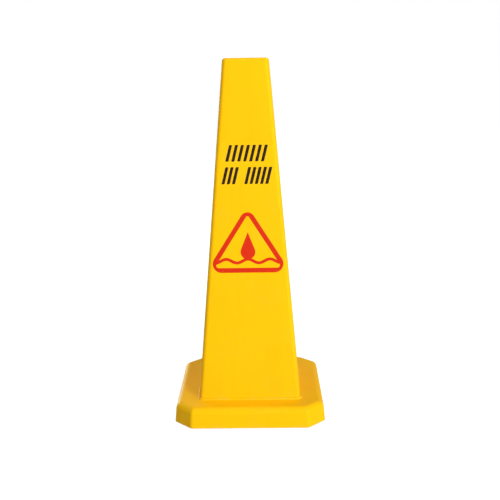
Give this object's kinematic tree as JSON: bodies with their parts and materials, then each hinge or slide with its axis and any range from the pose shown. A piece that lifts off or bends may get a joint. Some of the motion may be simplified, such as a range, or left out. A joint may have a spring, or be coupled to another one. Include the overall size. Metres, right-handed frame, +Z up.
{
  "type": "wet floor sign",
  "caption": "Four-sided tapered wet floor pylon: hollow body screwed into an eight-sided hollow base on rubber feet, with hazard bars and a drip sign on each face.",
  "frame": {"origin": "on the floor, at the middle of the base", "axes": "+Z up along the pylon's axis, -Y out of the front face, +X to the right as seen from the front"},
  "size_m": [0.279, 0.279, 0.661],
  "materials": {
    "yellow_plastic": "satin moulded polypropylene",
    "black_ink": "screen print",
    "red_ink": "screen print",
    "black_rubber": "moulded",
    "stainless_steel": "plain"
  },
  "bodies": {
    "root": {"cone_shell": "yellow_plastic", "base_shell": "yellow_plastic", "flange_screw_1": "stainless_steel", "flange_screw_2": "stainless_steel", "flange_screw_3": "stainless_steel", "flange_screw_4": "stainless_steel", "flange_screw_5": "stainless_steel", "flange_screw_6": "stainless_steel", "flange_screw_7": "stainless_steel", "flange_screw_8": "stainless_steel", "rubber_foot_front_right": "black_rubber", "rubber_foot_back_right": "black_rubber", "rubber_foot_back_left": "black_rubber", "rubber_foot_front_left": "black_rubber", "hazard_bar_upper_front": "black_ink", "hazard_bar_short_front": "black_ink", "hazard_bar_long_front": "black_ink", "hazard_bar_upper_right": "black_ink", "hazard_bar_short_right": "black_ink", "hazard_bar_long_right": "black_ink", "hazard_bar_upper_back": "black_ink", "hazard_bar_short_back": "black_ink", "hazard_bar_long_back": "black_ink", "hazard_bar_upper_left": "black_ink", "hazard_bar_short_left": "black_ink", "hazard_bar_long_left": "black_ink", "drip_sign_front": "red_ink", "drip_sign_right": "red_ink", "drip_sign_back": "red_ink", "drip_sign_left": "red_ink"}
  },
  "joints": []
}
